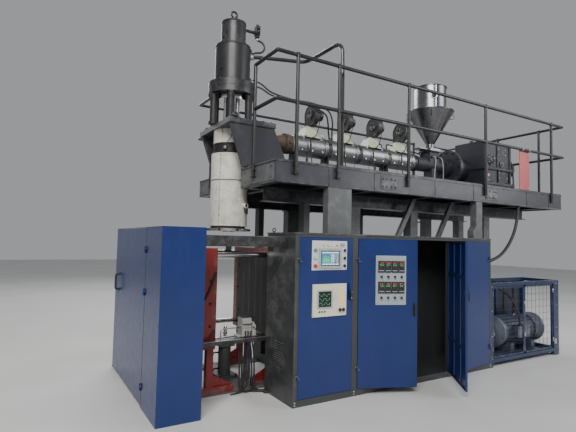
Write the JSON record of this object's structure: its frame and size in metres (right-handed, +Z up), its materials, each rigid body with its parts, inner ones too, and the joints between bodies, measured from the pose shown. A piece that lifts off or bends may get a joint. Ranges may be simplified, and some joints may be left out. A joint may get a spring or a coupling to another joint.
{
  "type": "blow moulding machine",
  "caption": "Accumulator-head blow moulding machine with extruder on a railed platform, hinged cabinet doors, guard, clamp with sliding platens and caged pump motor.",
  "frame": {"origin": "on the floor at the centre of the anchor-bolt pattern", "axes": "+X along the machine from the head to the drive motor, +Y away from the operator, +Z up"},
  "size_m": [6.622, 3.1666, 4.573],
  "materials": {
    "frame_grey": "satin",
    "cabinet_grey": "satin",
    "cast_grey": "satin",
    "platform_dark": "satin",
    "deck_grey": "matte",
    "rail_dark": "satin",
    "plate_red": "satin",
    "dark_steel": "satin",
    "cream_cover": "satin",
    "machined_steel": "machined",
    "ground_steel": "polished",
    "cylinder_dark": "gloss",
    "black_metal": "satin",
    "hose_black": "matte",
    "pipe_dark": "satin",
    "band_brown": "matte",
    "cover_steel": "brushed",
    "cowl_cream": "satin",
    "throat_grey": "satin",
    "stainless": "brushed",
    "gearbox_dark": "satin",
    "platen_red": "satin",
    "manifold_pale": "satin",
    "guard_blue": "gloss",
    "door_blue": "gloss",
    "handle_black": "gloss",
    "panel_pale": "satin",
    "panel_cream": "satin",
    "panel_grey": "satin",
    "button_green": "gloss",
    "button_red": "gloss",
    "mounting_pale": "satin",
    "cage_blue": "gloss",
    "mesh_steel": "satin",
    "motor_blue": "gloss"
  },
  "bodies": {
    "machine": {"base_frame": "frame_grey", "platform_columns": "frame_grey", "platform_frame": "platform_dark", "deck_plate": "deck_grey", "guard_rails": "rail_dark", "access_ladder": "rail_dark", "red_rail_plate": "plate_red", "head_bracket": "platform_dark", "head_cylinder": "dark_steel", "heater_covers": "cream_cover", "die_ring": "machined_steel", "head_tie_posts": "dark_steel", "accumulator_cylinder": "cylinder_dark", "upper_cylinder": "cylinder_dark", "valve_block": "black_metal", "head_hoses": "hose_black", "main_hydraulic_pipe": "pipe_dark", "extruder_barrel": "machined_steel", "adapter": "band_brown", "barrel_covers": "cover_steel", "barrel_stands": "platform_dark", "cooling_cowls": "cowl_cream", "blowers": "black_metal", "feed_throat": "throat_grey", "hopper": "stainless", "gearbox": "gearbox_dark", "drive_motor": "black_metal", "clamp_bed": "cast_grey", "end_plates": "cast_grey", "clamp_cylinders": "cylinder_dark", "tie_bars": "ground_steel", "blow_table": "cast_grey", "valve_manifold": "manifold_pale", "guard_enclosure": "guard_blue", "cabinet_frame": "cabinet_grey", "mounting_plate": "mounting_pale", "motor_cage": "cage_blue", "cage_mesh": "mesh_steel", "pump_motor": "motor_blue", "cable_hose": "hose_black"},
    "melt_plunger": {"melt_plunger": "ground_steel"},
    "die_pin": {"die_pin": "ground_steel"},
    "screw": {"screw": "ground_steel"},
    "hopper_gate": {"hopper_gate": "stainless"},
    "left_platen": {"left_platen": "platen_red"},
    "right_platen": {"right_platen": "platen_red"},
    "blow_pin": {"blow_pin": "ground_steel"},
    "guard_door": {"guard_door": "guard_blue"},
    "door_1": {"door_1": "door_blue", "screen_panel": "panel_pale", "controller_panel": "panel_cream"},
    "door_2": {"door_2": "door_blue", "temperature_panel": "panel_grey"},
    "door_3": {"door_3": "door_blue"},
    "door_4": {"door_4": "door_blue"},
    "door_1_handle": {"door_1_handle": "handle_black"},
    "door_3_handle": {"door_3_handle": "handle_black"},
    "start_button": {"start_button": "button_green"},
    "stop_button": {"stop_button": "button_red"},
    "pump_coupling": {"pump_coupling": "machined_steel"}
  },
  "joints": [
    {"name": "plunger_stroke", "type": "slide", "parent": "machine", "child": "melt_plunger", "axis": [0, 0, -1], "range_m": [0, 0.29]},
    {"name": "pin_stroke", "type": "slide", "parent": "machine", "child": "die_pin", "axis": [0, 0, -1], "range_m": [0, 0.04]},
    {"name": "screw_turn", "type": "hinge", "parent": "machine", "child": "screw", "pos_m": [0, 0, 2.97], "axis": [1, 0, 0], "continuous": true},
    {"name": "gate_slide", "type": "slide", "parent": "machine", "child": "hopper_gate", "axis": [1, 0, 0], "range_m": [0, 0.13]},
    {"name": "left_platen_slide", "type": "slide", "parent": "machine", "child": "left_platen", "axis": [1, 0, 0], "range_m": [0, 0.2]},
    {"name": "right_platen_slide", "type": "slide", "parent": "machine", "child": "right_platen", "axis": [-1, 0, 0], "range_m": [0, 0.2]},
    {"name": "blow_pin_slide", "type": "slide", "parent": "machine", "child": "blow_pin", "axis": [0, 0, 1], "range_m": [0, 0.15]},
    {"name": "guard_door_hinge", "type": "hinge", "parent": "machine", "child": "guard_door", "pos_m": [-3.276, -0.553, 1.126], "axis": [0, 0, 1], "range_deg": [0, 110]},
    {"name": "door_1_hinge", "type": "hinge", "parent": "machine", "child": "door_1", "pos_m": [-1.902, -1.28, 0.883], "axis": [0, 0, 1], "range_deg": [-110, 0]},
    {"name": "door_2_hinge", "type": "hinge", "parent": "machine", "child": "door_2", "pos_m": [-1.134, -1.28, 0.883], "axis": [0, 0, 1], "range_deg": [-68, 22]},
    {"name": "door_3_hinge", "type": "hinge", "parent": "machine", "child": "door_3", "pos_m": [0.366, -1.28, 0.883], "axis": [0, 0, 1], "range_deg": [-53, 37]},
    {"name": "door_4_hinge", "type": "hinge", "parent": "machine", "child": "door_4", "pos_m": [1.186, -1.28, 0.883], "axis": [0, 0, 1], "range_deg": [-8, 92]},
    {"name": "door_1_latch", "type": "hinge", "parent": "door_1", "child": "door_1_handle", "pos_m": [-1.245, -1.27, 1.127], "axis": [0, -1, 0], "range_deg": [0, 90]},
    {"name": "door_3_latch", "type": "hinge", "parent": "door_3", "child": "door_3_handle", "pos_m": [-0.10418, -1.88733, 1.127], "axis": [-0.7986, 0.6018, 0], "range_deg": [0, 90]},
    {"name": "start_press", "type": "slide", "parent": "door_1", "child": "start_button", "axis": [0, 1, 0], "range_m": [0, 0.004], "stiffness_N_per_m": 900},
    {"name": "stop_press", "type": "slide", "parent": "door_1", "child": "stop_button", "axis": [0, 1, 0], "range_m": [0, 0.004], "stiffness_N_per_m": 900},
    {"name": "coupling_turn", "type": "hinge", "parent": "machine", "child": "pump_coupling", "pos_m": [1.65, -0.96, 0.401], "axis": [1, 0, 0], "continuous": true}
  ],
  "couplings": [
    {"joint": "right_platen_slide", "follows": "left_platen_slide", "ratio": 1}
  ]
}
